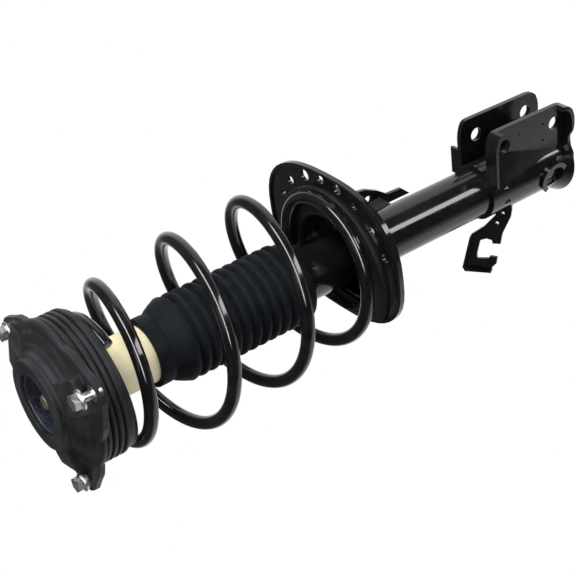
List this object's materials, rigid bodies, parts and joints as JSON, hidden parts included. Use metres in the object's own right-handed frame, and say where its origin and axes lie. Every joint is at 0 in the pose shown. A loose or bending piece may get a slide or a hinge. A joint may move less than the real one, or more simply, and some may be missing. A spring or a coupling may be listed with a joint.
{
  "type": "strut assembly",
  "caption": "Suspension strut with a lobed rubber top mount, offset coil spring, pleated boot over a foam bump stop, pressed spring seat and twin-ear knuckle bracket.",
  "frame": {"origin": "centre of the tower bolt circle, on the plane of the mount pads", "axes": "+Z along the strut towards the car body, +X towards the knuckle ears, Y along the knuckle bolts"},
  "size_m": [0.2006, 0.193, 0.6132],
  "materials": {
    "moulded_rubber": "matte",
    "boot_rubber": "matte, slightly blue",
    "stop_foam": "matte foam",
    "spring_paint": "gloss black powder coat",
    "gloss_black_paint": "gloss black",
    "bare_steel": "plain",
    "zinc_plate": "bright zinc",
    "blued_steel": "dark, smooth",
    "hard_chrome": "ground and polished",
    "yellow_zinc": "passivated",
    "slide_band": "PTFE-filled band",
    "bronze_bush": "sintered",
    "cage_plastic": "natural nylon"
  },
  "bodies": {
    "top_mount": {"mount_rubber": "moulded_rubber", "mount_plate": "bare_steel", "mount_inserts": "zinc_plate", "mount_bolts": "zinc_plate", "mount_cup": "blued_steel", "nut_washer": "zinc_plate", "rod_nut": "yellow_zinc", "bearing_upper_race": "bare_steel", "piston_rod": "hard_chrome", "rebound_stop": "bare_steel", "piston": "bare_steel", "piston_band": "slide_band", "valve_discs": "bare_steel", "piston_nut": "bare_steel"},
    "upper_seat": {"upper_spring_seat": "gloss_black_paint", "upper_insulator": "moulded_rubber", "bearing_lower_race": "bare_steel", "bearing_balls": "bare_steel", "bearing_cage": "cage_plastic", "coil_spring": "spring_paint", "bump_stop": "stop_foam", "dust_boot": "boot_rubber"},
    "strut_body": {"strut_tube": "gloss_black_paint", "tube_cap": "gloss_black_paint", "rod_seal": "moulded_rubber", "rod_guide": "bare_steel", "guide_bush": "bronze_bush", "pressure_tube": "bare_steel", "base_valve": "bare_steel", "tube_bottom": "gloss_black_paint", "lower_spring_seat": "gloss_black_paint", "lower_insulator": "moulded_rubber", "knuckle_bracket": "gloss_black_paint", "hose_bracket": "gloss_black_paint", "link_bracket": "gloss_black_paint"}
  },
  "joints": [
    {"name": "steering_swivel", "type": "hinge", "parent": "top_mount", "child": "upper_seat", "pos_m": [0, 0, 0], "axis": [0, 0, 1], "range_deg": [-40, 40]},
    {"name": "compression", "type": "slide", "parent": "upper_seat", "child": "strut_body", "axis": [0, 0, 1], "range_m": [0, 0.1], "stiffness_N_per_m": 25000, "springref_m": -0.08, "deforming": ["coil_spring", "dust_boot"]}
  ]
}
